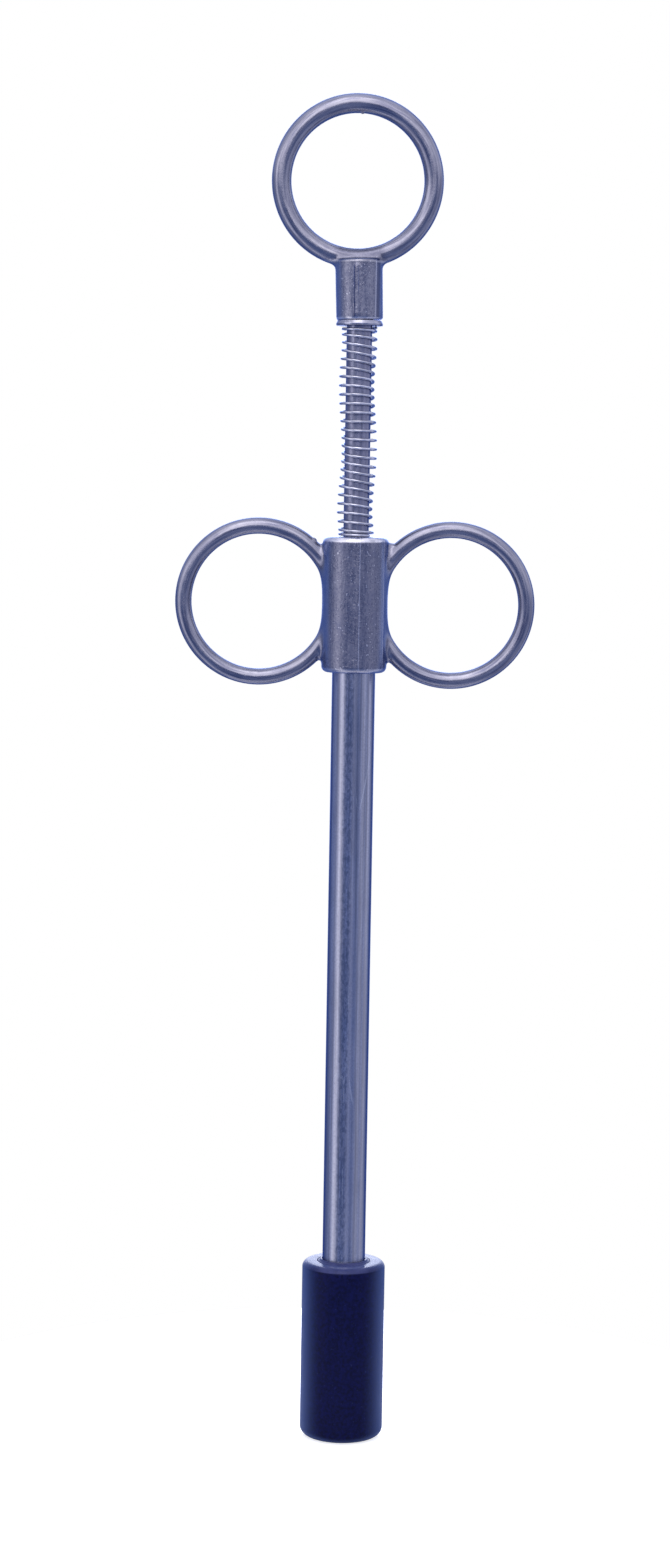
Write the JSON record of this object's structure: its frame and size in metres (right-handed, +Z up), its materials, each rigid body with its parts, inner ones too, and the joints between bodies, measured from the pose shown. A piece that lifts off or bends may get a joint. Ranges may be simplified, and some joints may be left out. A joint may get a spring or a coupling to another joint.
{
  "type": "hand plunger applicator",
  "caption": "Hand-held plunger applicator: a sprung rod with a thumb ring slides through a ringed finger grip and a long tube into a hollow cylindrical head that holds the dose.",
  "frame": {"origin": "centre of the head's mouth, which is the lowest face", "axes": "+Z up the tool's axis towards the thumb ring, X across the two finger rings, +Y the side with the set screws"},
  "size_m": [0.0786, 0.0184, 0.296],
  "materials": {
    "cast_metal": "die-cast, fine grain, satin",
    "bright_steel": "drawn, bright, lightly scratched",
    "spring_wire": "drawn wire, bright",
    "head_moulding": "very dark blue, smooth satin",
    "seal_rubber": "matt black",
    "bush_plastic": "off-white, matt",
    "brass": "turned",
    "screw_steel": "black oxide"
  },
  "bodies": {
    "barrel": {"applicator_head": "head_moulding", "head_ferrule": "brass", "retaining_ring": "seal_rubber", "neck_seal": "seal_rubber", "barrel_tube": "bright_steel", "lower_guide_bush": "bush_plastic", "rod_seal": "seal_rubber", "finger_grip": "cast_metal", "upper_guide_bush": "bush_plastic", "grip_set_screw_upper": "screw_steel", "grip_set_screw_lower": "screw_steel", "return_spring": "spring_wire"},
    "spring_seat": {"spring_seat_washer": "bright_steel"},
    "plunger": {"plunger_rod": "bright_steel", "thumb_ring": "cast_metal", "ring_set_screw": "screw_steel", "stop_bumper": "seal_rubber", "pusher": "bush_plastic", "pusher_lock_washer": "spring_wire", "pusher_screw": "screw_steel"}
  },
  "joints": [
    {"name": "plunger_slide", "type": "slide", "parent": "barrel", "child": "spring_seat", "axis": [0, 0, -1], "range_m": [0, 0.027], "stiffness_N_per_m": 250, "springref_m": -0.01, "deforming": ["return_spring"]},
    {"name": "plunger_turn", "type": "hinge", "parent": "spring_seat", "child": "plunger", "pos_m": [0, 0, 0.2475], "axis": [0, 0, 1], "continuous": true}
  ]
}
